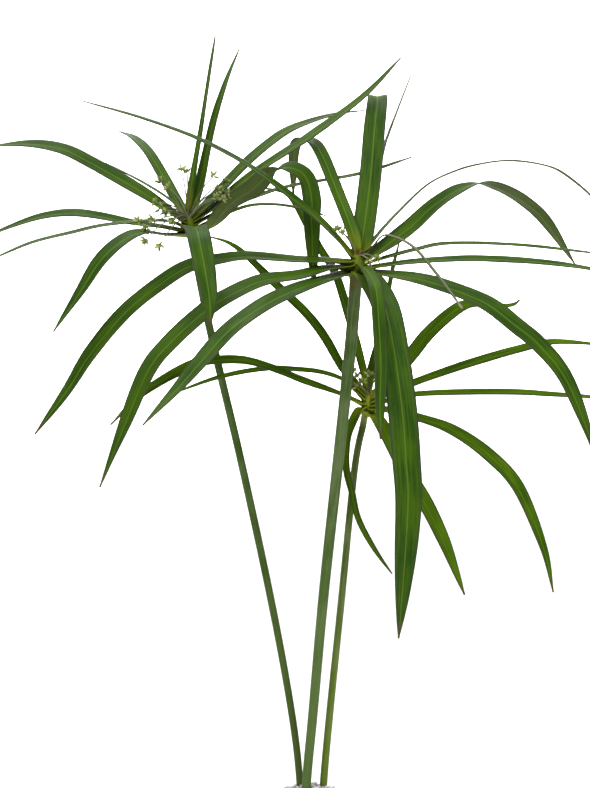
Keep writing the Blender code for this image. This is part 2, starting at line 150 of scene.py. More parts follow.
BRACTS = {
    "left": [
        Bract(165, 9.0, 1.6, [(16, 11), (28, 18), (47, 28), (61, 34), (78, 36), (99, 34)],
              (-5, -26, -27, -10)),
        Bract(182, 8.0, -1.8, [(14, 0), (27, 2), (49, 6), (65, 5), (81, 0), (95, -6)], (-5, -20, -10)),
        Bract(202, 6.0, 0.1, [(13, 3), (39, 2), (56, -1), (75, -5), (94, -12)], (-6, -4, 0)),
        Bract(220, 9.0, -3.0, [(12, -3), (28, -1), (40, -5), (51, -13), (61, -25), (76, -42)],
              (0, -13, 10)),
        Bract(118, 7.0, 3.4, [(14, 11), (28, 21), (43, 31), (59, 37), (75, 39)], (10, 10, 5)),
        Bract(92, 3.5, 7.2, [(4, 20), (13, 42), (24, 60), (40, 84)], (0, -50, -62, -65),
              (-1, -5, -8, -12)),
        Bract(60, 6.0, 4.6, [(7, 15.5), (14, 31.5), (21, 47), (31, 63), (43, 78)], (0, -24, -40)),
        Bract(38, 7.0, 3.2, [(15, 14), (30, 26), (42, 34), (55, 41), (69, 45), (85, 48), (101, 49)],
              (4, 10, 0)),
        Bract(26, 7.0, 2.0, [(13, 9), (22, 16.5), (35, 25), (60, 39), (88, 57), (107, 74)], (2, 12, 0)),
        Bract(346, 9.5, -2.8, [(9, 0), (19, 11), (29, 17.5), (37, 25), (45, 27), (52, 23), (55, 13),
                               (55, 2), (56, -27)],
              (-5, -40, -60, 30, 60, 60, 40), (0, 0, 1, 3, 5, 6, 6, 6, 6)),
        Bract(18, 4.5, 0.6, [(14, 6.5), (29, 12), (47, 17), (81, 22), (106, 29)], (8,)),
        Bract(275, 11.0, -2.0, [(12, 1), (32, 2), (47, -4), (58, -18), (63, -27), (67, -37)],
              (0, 0, -10), (0, 1, 2, 4, 5, 5)),
        Bract(9, 4.0, -1.0, [(11, 3), (25, 8.5), (36, 9.5), (48, 8), (62, 4)], (10,)),
        Bract(149, 3.0, 5.3, [(8, 9.8), (15, 14), (28, 20), (46, 27)], (10, 5, 10)),
    ],
    "middle": [
        Bract(80, 10.5, 4.2, [(7, 8), (26, 37), (44, 57), (60, 70), (72, 72), (87, 66), (101, 56)],
              (0,), (-1, -2, -1, 0, 2, 4, 6)),
        Bract(288, 13.5, -3.6, [(10, -4), (25, -12), (37, -21), (47, -39), (55, -59), (60, -79),
                                (63, -97), (64, -126), (61, -158)],
              (0, 0, 8, 0, -15), (1, 2.5, 2, 2, 2, 2, 2, 0, -1.5)),
        Bract(275, 7.0, -1.8, [(8, 0), (22, -3.5), (34, -9), (44, -22), (52, -39), (57, -54), (60, -70)],
              (-15, -25, -30), (2, 4, 5, 5, 5, 4, 4)),
        Bract(192, 8.0, 3.4, [(17, 20), (45, 42), (70, 56), (96, 66), (123, 74)], (-22, -26, -14, -8, -6)),
        Bract(113, 7.0, 6.2, [(6, 15.5), (21, 30), (39, 46.5), (51, 52.5), (65, 52.5), (72, 46),
                              (73, 26)],
              (0, 5, 0, 0, -10)),
        Bract(190, 11.0, 1.4, [(15, 2), (27, 2.5), (49, 4.5), (64, 3), (77, 0), (90, -8), (105, -20),
                               (120, -37.5), (131, -54.5), (145, -73)],
              (-5, -14, -28, -32, -30)),
        Bract(208, 11.0, -0.6, [(15, -1), (30, -3.5), (48, -5), (66, -11.5), (79, -19), (93, -30),
                                (104, -42), (117, -69), (127, -91)],
              (0, -18, -22, -20, 0)),
        Bract(227, 11.0, -2.8, [(12, -4), (37, -7.5), (61, -13.5), (82, -22.5), (99, -34), (114, -45),
                                (134, -58)],
              (0, -12, -5, 10)),
        Bract(40, 5.0, 2.8, [(13, 13), (26, 23), (43, 34), (61, 39.5), (78, 42), (94, 42.5), (114, 40),
                             (128, 35.5), (147, 24), (160, 12)],
              (-18, -24, -8, 8, 20)),
        Bract(30, 10.0, 1.4, [(10, 5), (27, 15), (40, 24.5), (51, 30.5), (60, 33.5), (68, 34), (80, 30),
                              (91, 24), (102, 15), (119, -6)],
              (5, 20, 12, -18, -24, -10)),
        Bract(14, 4.0, 0.0, [(14, 3), (27, 6), (43, 8.5), (76, 7), (116, 2)], (12,)),
        Bract(0, 7.0, -1.6, [(19, 0.5), (37, 2), (55, 2.5), (82, 1), (104, -2), (121, -6)], (10, 17, 10)),
        Bract(332, 2.0, 4.4, [(8.5, 9), (12, 13), (17, 13.5), (28, 9), (40, -3), (52, -17)], (10,),
              dry=True),
        Bract(340, 10.0, -3.0, [(11, -3.5), (29, -5.5), (45, -9.5), (61, -15.5), (74, -24.5), (85, -33),
                                (97, -47), (108, -72), (113, -88)],
              (5, 25, 34, 30, 10)),
        Bract(76, 3.0, 1.0, [(12, 7), (33, 25), (53, 46.5), (68, 56), (115, 80)], (0, -50, -60)),
        Bract(168, 2.4, -4.4, [(6, -5), (11, -5)], (0,), dry=True),
    ],
    "right": [
        Bract(142, 8.0, 6.0, [(5, 24), (10, 38), (18, 58), (29, 72), (42, 91), (51, 95), (64, 96)],
              (12, 9, 0)),
        Bract(160, 8.0, 4.0, [(11, 15), (20, 29), (29, 40), (44, 53), (64, 70), (80, 75)], (-6, -11, 0)),
        Bract(212, 8.0, 0.2, [(15, 6), (36, 14), (48, 19), (63, 24), (78, 25.5), (93, 24), (116, 14),
                              (133, 1)],
              (-15, -27, -18, 0)),
        Bract(196, 6.0, 2.0, [(6, 7), (12, 12), (22, 15.5), (32, 17), (47, 18), (69, 15), (92, 8)],
              (-15, -12, 0)),
        Bract(42, 8.0, 2.6, [(12, 7.5), (27, 19), (39, 29), (55, 38), (66, 41), (83, 39), (95, 38.5),
                             (100, 40.5)],
              (0, 15, 19, 18)),
        Bract(18, 8.0, 1.0, [(10, 4), (24, 9), (50, 16.5), (78, 23), (92, 25), (110, 23.5), (121, 21.5)],
              (5, 15, 10)),
        Bract(0, 7.0, -0.8, [(10, 1.5), (23, 4.5), (61, 5.5), (91, 4), (117, 2)], (8, 14, 5)),
        Bract(336, 9.0, -2.2, [(8, -2), (26, -5), (42, -9.5), (60, -20), (74, -34), (86, -60), (91, -80)],
              (5, 20, 8)),
        Bract(304, 10.0, -3.6, [(7, -5), (18, -14), (30, -26), (45, -39), (59, -54), (75, -76)],
              (-10, -5, -20)),
        Bract(255, 5.0, -1.4, [(7, -2), (13, -11), (15.5, -18), (17, -28), (18.5, -38), (18.5, -50),
                               (18, -63), (16, -75)],
              (0, 40, 42, 45), (-2, -5, -5.5, -5, -2, 1, 8, 16)),
        Bract(68, 5.0, 4.8, [(5, 13), (17, 30), (26, 44), (34, 59), (42, 70)], (0, -46, -46)),
    ],
}

# Places of the spikelet clusters from the hub, each on its own ray
FLOWER_HEADS = {
    "left": [
        (-4, 6, 25), (-1, -4, 24.5), (-13, 2, 19.8), (-9, -6, 17.4), (10.7, -4, 22.6), (15.6, 4, 19.5),
        (12.8, -5, 16.5), (11.6, -9, 13.4), (17, -6, 14.8), (14.6, -11, 13), (-14.7, -8, 11.2),
        (-12.6, -10, 9), (-9.9, -12, 7), (-7.1, -12, 3.5), (-16.2, -14, 4.7), (-22, -24, 4.6),
        (-18.6, -16, 0.7), (-18.8, -24, -4.2), (-12.6, -20, -6.6),
    ],
    "middle": [(-8.4, -3, 15.6), (-6, -5, 14.2), (5, -9, 2.6), (8, -8, 3.6)],
    "right": [(-4, -3, 13), (-2, -6, 11), (1, -5, 14), (4, -4, 12), (6, -1, 14), (-6, -2, 15), (-4, -8, 9)],
}


def smooth_curve(points: list, samples: int = 12) -> list[Vector]:
    """Runs a smooth curve through points.

    Args:
        points: the places that the curve passes through.
        samples: steps between two of them.

    Returns:
        The curve as a chain of points (Catmull-Rom).
    """
    points = [Vector(point) for point in points]
    ends = [2 * points[0] - points[1], *points, 2 * points[-1] - points[-2]]
    curve = []
    for before, start, end, after in zip(ends, ends[1:], ends[2:], ends[3:]):
        for step in range(samples):
            t = step / samples
            bend = 2 * before - 5 * start + 4 * end - after
            twist = 3 * start - before - 3 * end + after
            curve.append(start + 0.5 * (t * (end - before) + t * t * bend + t ** 3 * twist))
    curve.append(points[-1])
    return curve


class Centreline:
    """A smooth curve that can be read at any distance from its start."""

    def __init__(self, points: list) -> None:
        """Measures the curve through the points."""
        self.points = smooth_curve(points)
        self.reaches = [0.0]
        for a, b in zip(self.points, self.points[1:]):
            self.reaches.append(self.reaches[-1] + (b - a).length)

    @property
    def length(self) -> float:
        """The curve's whole length."""
        return self.reaches[-1]

    def place(self, reach: float) -> Vector:
        """Returns the point at a distance from the start, running straight on past the ends."""
        index = 1
        while index < len(self.reaches) - 1 and self.reaches[index] < reach:
            index += 1
        a, b = self.points[index - 1], self.points[index]
        span = self.reaches[index] - self.reaches[index - 1]
        return a + (b - a) * ((reach - self.reaches[index - 1]) / span)

    def direction(self, reach: float, blur: float = 1.5) -> Vector:
        """Returns the direction at a distance, evened out over a short stretch."""
        return (self.place(reach + blur) - self.place(reach - blur)).normalized()


def eased(values: tuple[float, ...], fraction: float) -> float:
    """Reads evenly spaced values at a fraction, passing softly from one to the next."""
    if len(values) == 1:
        return values[0]
    place = max(0.0, min(1.0, fraction)) * (len(values) - 1)
    index = min(int(place), len(values) - 2)
    t = place - index
    return values[index] + (values[index + 1] - values[index]) * t * t * (3.0 - 2.0 * t)


class Paint:
    """A Principled material and the nodes that feed it."""

    def __init__(self, name: str, roughness: float, specular: float = 0.5, coat: float = 0.0,
                 coat_roughness: float = 0.4) -> None:
        """Starts the material with its constant values."""
        self.material = bpy.data.materials.new(name)
        self.material.use_nodes = True
        self.tree = self.material.node_tree
        self.shader = self.tree.nodes["Principled BSDF"]
        self.shader.inputs["Roughness"].default_value = roughness
        self.shader.inputs["Specular IOR Level"].default_value = specular
        self.shader.inputs["Coat Weight"].default_value = coat
        self.shader.inputs["Coat Roughness"].default_value = coat_roughness

    def feed(self, socket: bpy.types.NodeSocket, value: object) -> None:
        """Links a socket to an input, or sets the input to a number or colour."""
        if isinstance(value, bpy.types.NodeSocket):
            self.tree.links.new(value, socket)
        elif isinstance(value, tuple) and len(value) == 3 and socket.type == "RGBA":
            socket.default_value = (*value, 1.0)
        else:
            socket.default_value = value

    def trait(self, trait: Trait) -> bpy.types.NodeSocket:
        """Returns the value that the mesh carries under the trait's name."""
        node = self.tree.nodes.new("ShaderNodeAttribute")
        node.attribute_name = trait.value
        return node.outputs["Fac"]

    def place(self) -> bpy.types.NodeSocket:
        """Returns the surface's place in the part's frame."""
        return self.tree.nodes.new("ShaderNodeTexCoord").outputs["Object"]

    def calc(self, operation: str, a: object, b: object = 0.0, clamp: bool = False) -> bpy.types.NodeSocket:
        """Returns a sum, product or other operation on one or two values."""
        node = self.tree.nodes.new("ShaderNodeMath")
        node.operation = operation
        node.use_clamp = clamp
        self.feed(node.inputs[0], a)
        self.feed(node.inputs[1], b)
        return node.outputs[0]

    def vector(self, x: object, y: object, z: object) -> bpy.types.NodeSocket:
        """Returns a vector of three values."""
        node = self.tree.nodes.new("ShaderNodeCombineXYZ")
        for socket, value in zip(node.inputs, (x, y, z)):
            self.feed(socket, value)
        return node.outputs[0]

    def noise(self, where: bpy.types.NodeSocket, scale: float, detail: float = 3.0) -> bpy.types.NodeSocket:
        """Returns soft noise from 0 to 1 at a place."""
        node = self.tree.nodes.new("ShaderNodeTexNoise")
        self.feed(node.inputs["Vector"], where)
        node.inputs["Scale"].default_value = scale
        node.inputs["Detail"].default_value = detail
        return node.outputs["Fac"]

    def step(self, value: object, low: float, high: float, top: float = 1.0) -> bpy.types.NodeSocket:
        """Returns 0 below low, top above high and a smooth rise between; high may be lower."""
        node = self.tree.nodes.new("ShaderNodeMapRange")
        node.interpolation_type = "SMOOTHSTEP"
        self.feed(node.inputs["Value"], value)
        ends = (low, high, 0.0, top) if low < high else (high, low, top, 0.0)
        for name, end in zip(("From Min", "From Max", "To Min", "To Max"), ends):
            node.inputs[name].default_value = end
        return node.outputs["Result"]

    def mix(self, factor: object, a: object, b: object) -> bpy.types.NodeSocket:
        """Returns colour a turned into colour b by a factor."""
        node = self.tree.nodes.new("ShaderNodeMix")
        node.data_type = "RGBA"
        self.feed(node.inputs["Factor"], factor)
        self.feed(node.inputs[6], a)
        self.feed(node.inputs[7], b)
        return node.outputs[2]

    def colour(self, value: object) -> None:
        """Sets the base colour."""
        self.feed(self.shader.inputs["Base Color"], value)

    def rough(self, value: object) -> None:
        """Sets the roughness."""
        self.feed(self.shader.inputs["Roughness"], value)

    def bump(self, height: bpy.types.NodeSocket, depth: float, strength: float = 1.0) -> None:
        """Raises the surface by a height from 0 to 1 of the given depth in millimetres."""
        node = self.tree.nodes.new("ShaderNodeBump")
        node.inputs["Strength"].default_value = strength
        node.inputs["Distance"].default_value = depth * MM
        self.feed(node.inputs["Height"], height)
        self.tree.links.new(node.outputs["Normal"], self.shader.inputs["Normal"])


@dataclass(frozen=True)
class BladeFinish:
    """A bract's skin: satin green with parallel veins, a pale midrib and dark margins."""

    name: str
    deep: Colour
    bright: Colour
    margin: Colour
    midrib: Colour
    root: Colour
    tip: Colour
    roughness: float
    midrib_share: float
    veins_per_mm: float = 2.2
    sheen: float = 0.07

    def make(self) -> bpy.types.Material:
        """Builds the material."""
        paint = Paint(self.name, self.roughness, specular=self.sheen)
        across = paint.calc("ABSOLUTE", paint.trait(Trait.ACROSS))
        along = paint.trait(Trait.ALONG)
        reach = paint.trait(Trait.REACH)
        sideways = paint.trait(Trait.SIDEWAYS)
        tone = paint.trait(Trait.TONE)
        grain = paint.vector(sideways, paint.calc("MULTIPLY", reach, 0.035), paint.calc("MULTIPLY", tone, 37.0))
        streaks = paint.noise(grain, 1.5, 4.0)
        clouds = paint.noise(paint.vector(paint.calc("MULTIPLY", sideways, 0.12),
                                          paint.calc("MULTIPLY", reach, 0.05), tone), 1.0, 2.0)
        body = paint.mix(paint.step(paint.calc("ADD", streaks, clouds), 0.70, 1.30), self.deep, self.bright)
        body = paint.mix(paint.calc("MULTIPLY", paint.calc("SUBTRACT", tone, 0.5, clamp=True), 0.9), body, self.bright)
        body = paint.mix(paint.step(across, 0.72, 1.0, 0.85), body, self.margin)
        vein = paint.step(paint.calc("ABSOLUTE", sideways), 0.50, 0.18, self.midrib_share)
        body = paint.mix(vein, body, self.midrib)
        body = paint.mix(paint.step(reach, 14.0, 1.0, 0.90), body, self.root)
        ragged = paint.calc("ADD", along, paint.calc("MULTIPLY", streaks, 0.05))
        body = paint.mix(paint.step(ragged, 0.965, 1.015), body, self.tip)
        paint.colour(body)
        veins = paint.calc("SINE", paint.calc("MULTIPLY", sideways, self.veins_per_mm * 2.0 * math.pi))
        keel = paint.step(across, 0.10, 0.0)
        paint.bump(paint.calc("ADD", paint.calc("MULTIPLY", veins, 0.35), paint.calc("SUBTRACT", streaks, keel)), 0.06)
        paint.rough(paint.calc("ADD", self.roughness - 0.07, paint.calc("MULTIPLY", streaks, 0.14)))
        return paint.material


@dataclass(frozen=True)
class CulmFinish:
    """A culm's skin: finely ribbed green, duller and greyer along its lit side."""

    name: str
    deep: Colour
    bright: Colour
    foot: Colour
    collar: Colour
    crown: Colour
    ribs: int = 22

    def make(self) -> bpy.types.Material:
        """Builds the material."""
        paint = Paint(self.name, 0.42, specular=0.10)
        around = paint.trait(Trait.AROUND)
        reach = paint.trait(Trait.REACH)
        along = paint.trait(Trait.ALONG)
        wrap = paint.calc("MULTIPLY", around, 2.0 * math.pi)
        grain = paint.vector(paint.calc("MULTIPLY", paint.calc("COSINE", wrap), 1.8),
                             paint.calc("MULTIPLY", paint.calc("SINE", wrap), 1.8),
                             paint.calc("MULTIPLY", reach, 0.03))
        streaks = paint.noise(grain, 2.2, 4.0)
        blotches = paint.noise(paint.place(), 70.0, 2.0)
        body = paint.mix(paint.step(paint.calc("ADD", streaks, blotches), 0.75, 1.25), self.deep, self.bright)
        body = paint.mix(paint.step(along, 0.70, 0.20, 0.75), body, self.foot)
        level = paint.calc("ADD", paint.trait(Trait.LEVEL), paint.calc("MULTIPLY", streaks, 3.0))
        body = paint.mix(paint.step(level, -7.0, 0.0, 0.80), body, self.collar)
        body = paint.mix(paint.step(level, 1.6, 2.6), body, self.crown)
        paint.colour(body)
        ribs = paint.calc("SINE", paint.calc("MULTIPLY", wrap, float(self.ribs)))
        paint.bump(paint.calc("ADD", paint.calc("MULTIPLY", ribs, 0.5), streaks), 0.07)
        paint.rough(paint.calc("ADD", 0.36, paint.calc("MULTIPLY", streaks, 0.14)))
        return paint.material


@dataclass(frozen=True)
class GrainFinish:
    """A mottled matte finish of small natural pieces, such as pebbles or spikelets."""

    name: str
    dark: Colour
    light: Colour
    warm: Colour
    roughness: float
    speck: float
    depth: float

    def make(self) -> bpy.types.Material:
        """Builds the material."""
        paint = Paint(self.name, self.roughness, specular=0.35)
        tone = paint.trait(Trait.TONE)
        mottle = paint.noise(paint.place(), self.speck, 4.0)
        body = paint.mix(paint.step(paint.calc("ADD", tone, mottle), 0.55, 1.45), self.dark, self.light)
        warm = paint.step(paint.calc("FRACT", paint.calc("MULTIPLY", tone, 7.0)), 0.72, 0.95, 0.7)
        paint.colour(paint.mix(warm, body, self.warm))
        paint.bump(paint.noise(paint.place(), self.speck * 2.0, 3.0), self.depth)
        paint.rough(paint.calc("ADD", self.roughness - 0.08, paint.calc("MULTIPLY", mottle, 0.16)))
        return paint.material


@dataclass(frozen=True)
class GlazeFinish:
    """Off-white satin glaze with faint speckles and a bare clay foot."""

    name: str
    glaze: Colour
    shade: Colour
    speckle: Colour
    clay: Colour

    def make(self) -> bpy.types.Material:
        """Builds the material."""
        paint = Paint(self.name, 0.30, specular=0.5, coat=0.35, coat_roughness=0.18)
        place = paint.place()
        wash = paint.noise(place, 18.0, 3.0)
        specks = paint.noise(place, 520.0, 1.0)
        height = self.height(paint, place)
        body = paint.mix(paint.step(wash, 0.35, 0.70), self.glaze, self.shade)
        body = paint.mix(paint.step(specks, 0.70, 0.78, 0.6), body, self.speckle)
        foot = paint.step(paint.calc("ADD", height, paint.calc("MULTIPLY", wash, 0.0012)), 0.0032, 0.0026)
        paint.colour(paint.mix(foot, body, self.clay))
        paint.rough(paint.calc("ADD", paint.calc("MULTIPLY", foot, 0.45), paint.calc("MULTIPLY", wash, 0.5)))
        paint.bump(paint.calc("ADD", paint.noise(place, 45.0, 3.0), paint.calc("MULTIPLY", specks, 0.2)), 0.10)
        return paint.material

    def height(self, paint: Paint, place: bpy.types.NodeSocket) -> bpy.types.NodeSocket:
        """Returns the height above the surface that the planter stands on."""
        node = paint.tree.nodes.new("ShaderNodeSeparateXYZ")
        paint.feed(node.inputs[0], place)
        return node.outputs["Z"]


UPPER_SKIN = BladeFinish(
    "blade_upper", deep=(0.013, 0.044, 0.002), bright=(0.040, 0.090, 0.002), margin=(0.036, 0.048, 0.022),
    midrib=(0.100, 0.170, 0.012), root=(0.130, 0.175, 0.006), tip=(0.070, 0.052, 0.022), roughness=0.42,
    midrib_share=0.60)
# Underside colours are lighter and greyer than the upper side: partly the blade's own paler underside, partly painted
# sheen.
UNDER_SKIN = BladeFinish(
    "blade_underside", deep=(0.046, 0.076, 0.014), bright=(0.076, 0.108, 0.026), margin=(0.050, 0.058, 0.030),
    midrib=(0.130, 0.165, 0.050), root=(0.150, 0.195, 0.012), tip=(0.090, 0.066, 0.030), roughness=0.46,
    midrib_share=0.60)
# Right crown's blades: lighter body and root colours, partly their own yellower green and partly painted light that
# lifts the shade on its hub and on blades facing away from the lamps; no specular sheen.
PAINTED_LIGHT_UPPER_SKIN = replace(UPPER_SKIN, name="blade_upper_painted_light", deep=(0.024, 0.064, 0.004),
                           bright=(0.070, 0.138, 0.005), root=(0.250, 0.310, 0.012), sheen=0.0)
PAINTED_LIGHT_UNDER_SKIN = replace(UNDER_SKIN, name="blade_underside_painted_light", deep=(0.064, 0.092, 0.022),
                           bright=(0.104, 0.134, 0.040), root=(0.260, 0.320, 0.020), sheen=0.0)
DRY_SKIN = BladeFinish(
    "blade_withered", deep=(0.085, 0.100, 0.050), bright=(0.150, 0.170, 0.095), margin=(0.060, 0.065, 0.035),
    midrib=(0.180, 0.195, 0.120), root=(0.055, 0.040, 0.012), tip=(0.300, 0.270, 0.200), roughness=0.65,
    midrib_share=0.5)
CULM_SKINS = {
    "left": CulmFinish("culm_left", (0.030, 0.062, 0.006), (0.072, 0.120, 0.030), (0.052, 0.084, 0.012),
                       (0.110, 0.140, 0.020), (0.100, 0.140, 0.006)),
    "middle": CulmFinish("culm_middle", (0.044, 0.082, 0.014), (0.100, 0.142, 0.052), (0.078, 0.132, 0.030),
                         (0.125, 0.112, 0.028), (0.120, 0.160, 0.008)),
    # Right culm: its pale collar and crown colours are partly its own yellow-green hub and partly painted light that
    # lifts the shade the middle crown casts on it.
    "right": CulmFinish("culm_right", (0.052, 0.090, 0.010), (0.135, 0.175, 0.058), (0.110, 0.180, 0.014),
                        (0.360, 0.400, 0.150), (0.300, 0.360, 0.025)),
}
BUD_SCALES = {"left": 0, "middle": 8, "right": 3}
SPIKELET_SKIN = GrainFinish("spikelets", (0.120, 0.170, 0.020), (0.330, 0.390, 0.120), (0.200, 0.170, 0.090),
                            0.62, 900.0, 0.08)
RAY_SKIN = GrainFinish("flower_rays", (0.060, 0.075, 0.028), (0.220, 0.240, 0.140), (0.160, 0.100, 0.075),
                       0.55, 400.0, 0.05)
SCALE_SKIN = GrainFinish("bud_scales", (0.110, 0.055, 0.014), (0.250, 0.180, 0.060), (0.160, 0.170, 0.030),
                         0.60, 700.0, 0.05)
PEBBLE_SKIN = GrainFinish("pebbles", (0.360, 0.350, 0.370), (0.640, 0.630, 0.650), (0.520, 0.480, 0.430),
                          0.72, 650.0, 0.12)
# Dark bed under the pebbles: painted shade that stands for the shade in the gaps between them.
BED_SHADE_SKIN = GrainFinish("gravel_bed_painted_shade", (0.130, 0.125, 0.130), (0.330, 0.320, 0.325), (0.240, 0.220, 0.190),
                        0.85, 900.0, 0.5)
GLAZE = GlazeFinish("planter_glaze", (0.600, 0.585, 0.540), (0.520, 0.505, 0.455), (0.300, 0.250, 0.190),
                    (0.560, 0.440, 0.340))


def traced_bmesh(*traits: Trait) -> tuple[bmesh.types.BMesh, list[bmesh.types.BMLayerItem]]:
    """Starts a bmesh whose vertices carry a value for each trait.

    Args:
        traits: the values that the piece's material reads.

    Returns:
        The bmesh and its layers, in the order of the traits.
    """
    bm = bmesh.new()
    for trait in traits:
        bm.verts.layers.float.new(trait.value)
    return bm, [bm.verts.layers.float[trait.value] for trait in traits]


def show(name: str, mesh: bpy.types.Mesh, nodes: list[str],
         skins: list[bpy.types.Material]) -> bpy.types.Object:
    """Links a finished piece, dresses it and sets it on the part.

    Args:
        name: the piece's name.
        mesh: its shape in millimetres.
        nodes: the CAD nodes that it stands for.
        skins: its materials.

    Returns:
        The piece's object.
    """
    mesh.transform(Matrix.Scale(MM, 4))
    for skin in skins:
        mesh.materials.append(skin)
    mesh.shade_smooth()
    piece = bpy.data.objects.new(name, mesh)
    bpy.context.scene.collection.objects.link(piece)
    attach(piece, BODY)
    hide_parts(*nodes)
    return piece


def to_mesh(name: str, bm: bmesh.types.BMesh) -> bpy.types.Mesh:
    """Turns a finished bmesh into a mesh and frees it."""
    mesh = bpy.data.meshes.new(name)
    bm.to_mesh(mesh)
    bm.free()
    return mesh


def settle(piece: bpy.types.Object) -> None:
    """Applies the piece's modifiers to its mesh."""
    depsgraph = bpy.context.evaluated_depsgraph_get()
    made = bpy.data.meshes.new_from_object(piece.evaluated_get(depsgraph))
    old = piece.data
    piece.modifiers.clear()
    piece.data = made
    bpy.data.meshes.remove(old)
    made.name = piece.name


@dataclass
class Crown:
    """One culm with its whorl of bracts and its flower head."""

    side: str
    stem: Stem
    bracts: list[Bract]
    spikelets: list[tuple[float, float, float]]
    skins: dict[str, bpy.types.Material]
    blade_columns: int = 10
    blade_row: float = 2.0
    blade_thickness: float = 0.48
    root_share: float = 0.85
    root_width: float = 3.4
    tip_width: float = 0.70
    slender_tip_width: float = 1.35
    opening: float = 20.0
    fold: float = math.radians(13.0)
    root_fold: float = math.radians(38.0)
    waviness: float = 0.22
    culm_sides: int = 32
    culm_row: float = 1.5
    hub_swell: float = 0.32
    culm_top: float = 4.5
    ray_radius: float = 0.30
    bud_scales: int = 0
    ray_arch: float = 0.13
    chance: random.Random = field(default_factory=lambda: random.Random(11))

    def build(self) -> None:
        """Builds every piece of the crown."""
        self.build_culm()
        for number, bract in enumerate(self.bracts, start=1):
            self.build_bract(f"{self.side}_bract_{number:02d}", bract)
        self.build_flower_head()

    def blade_width(self, bract: Bract, reach: float, length: float) -> float:
        """Returns the blade's width at a distance from its root: narrow, full, then a long point."""
        ease = min(1.0, reach / min(self.opening, 0.35 * length))
        root = max(self.root_width, self.root_share * bract.width)
        opening = root + (bract.width - root) * ease * (2.0 - ease)
        power = max(6.0, 16.0 - 1.1 * bract.width)
        point = max(0.0, 1.0 - (reach / length) ** power) ** 0.9
        return max(self.tip_width, self.slender_tip_width - 0.07 * bract.width, opening * point)

    def build_bract(self, name: str, bract: Bract) -> bpy.types.Object:
        """Models one bract: a grid bent onto its midrib, channelled, waved and given a thickness.

        Args:
            name: the piece's name, which is its CAD node's too.
            bract: its places and sizes.

        Returns:
            The piece's object.
        """
        heading = math.radians(bract.azimuth)
        outward = Vector((math.cos(heading), math.sin(heading), 0.0))
        leftward = Vector((-outward.y, outward.x, 0.0))
        hub, lean = self.stem.hub, self.stem.lean
        clasp = self.stem.radii[2] * self.taper(bract.level) - 0.5
        root = hub + lean * (bract.level - 0.6) + outward * clasp
        swing = bract.swing or (0.0,) * len(bract.route)
        line = Centreline([root] + [hub + outward * out + leftward * shift + Vector((0, 0, up))
                                    for (out, up), shift in zip(bract.route, swing)])
        length = line.length
        phase = self.chance.uniform(0.0, 60.0)
        tone = self.chance.random()

        bm, layers = traced_bmesh(Trait.ACROSS, Trait.ALONG, Trait.REACH, Trait.SIDEWAYS, Trait.TONE)
        rows = max(8, round(length / self.blade_row))
        bmesh.ops.create_grid(bm, x_segments=self.blade_columns, y_segments=rows, size=1.0)
        for vert in bm.verts:
            across, fraction = vert.co.x, (vert.co.y + 1.0) / 2.0
            reach = fraction * length
            direction = line.direction(reach)
            side = (leftward - direction * leftward.dot(direction)).normalized()
            side.rotate(Matrix.Rotation(math.radians(eased(bract.roll, fraction)), 3, direction))
            upper = direction.cross(side)
            half = 0.5 * self.blade_width(bract, reach, length)
            fold = self.fold + self.root_fold * math.exp(-reach / 5.0)
            keel = abs(across) - 0.5 - 0.22 * across ** 4
            wave = self.waviness * noise.noise(Vector((phase + reach / 17.0, math.copysign(3.0, across), 0.0)))
            lift = keel * half * math.sin(fold) + wave * across * across * min(1.0, half / 4.0)
            vert.co = line.place(reach) - side * (across * half * math.cos(fold)) + upper * lift
            for layer, value in zip(layers, (across, fraction, reach, across * half, tone)):
                vert[layer] = value
        skins = ["dry", "dry"] if bract.dry else ["upper", "under"]
        piece = show(f"{name}_blade", to_mesh(name, bm), [name],
                     [self.skins[skin] for skin in skins])
        shell = piece.modifiers.new("thickness", "SOLIDIFY")
        shell.thickness = self.blade_thickness * MM
        shell.offset = 0.0
        shell.material_offset = 1
        shell.material_offset_rim = 1
        settle(piece)
        return piece

    def build_culm(self) -> bpy.types.Object:
        """Models the culm: a ring extruded up its curve, with a swollen collar under the whorl."""
        name = f"{self.side}_culm"
        line = Centreline([*self.stem.route, self.stem.hub + self.stem.lean * self.culm_top])
        rows = round(line.length / self.culm_row)
        bm, layers = traced_bmesh(Trait.AROUND, Trait.ALONG, Trait.REACH, Trait.LEVEL)
        bmesh.ops.create_circle(bm, segments=self.culm_sides, radius=1.0, cap_ends=True)
        cap = bm.faces[:][0]
        ring = list(cap.verts)
        spokes = [vert.co.copy() for vert in ring]
        collar_at = line.length - self.culm_top - 2.1 * self.stem.radii[2]
        for row in range(rows + 1):
            if row:
                cap = bmesh.ops.extrude_discrete_faces(bm, faces=[cap])["faces"][0]
                ring = list(cap.verts)
            fraction = row / rows
            reach = fraction * line.length
            turn = Vector((0, 0, 1)).rotation_difference(line.direction(reach, 4.0)).to_matrix()
            level = reach - line.length + self.culm_top
            swell = 1.0 + 0.10 * math.exp(-((reach - collar_at) / 1.2) ** 2)
            swell += self.hub_swell * math.exp(-(level / 2.8) ** 2)
            radius = self.radius_at(fraction) * swell * self.taper(level)
            for index, (vert, spoke) in enumerate(zip(ring, spokes)):
                vert.co = line.place(reach) + turn @ (spoke * radius)
                for layer, value in zip(layers, (index / self.culm_sides, fraction, reach, reach - collar_at)):
                    vert[layer] = value
        bmesh.ops.recalc_face_normals(bm, faces=bm.faces)
        return show(f"{name}_stem", to_mesh(name, bm), [name], [self.skins["culm"]])

    def taper(self, level: float) -> float:
        """Returns how much of the culm's radius is left at a height from its hub."""
        return 1.0 - 0.6 * min(1.0, max(0.0, (level + 2.0) / 9.0))

    def radius_at(self, fraction: float) -> float:
        """Returns the culm's radius at a fraction of its length."""
        foot, middle, top = self.stem.radii
        if fraction < 0.5:
            return foot + (middle - foot) * fraction * 2.0
        return middle + (top - middle) * (fraction * 2.0 - 1.0)

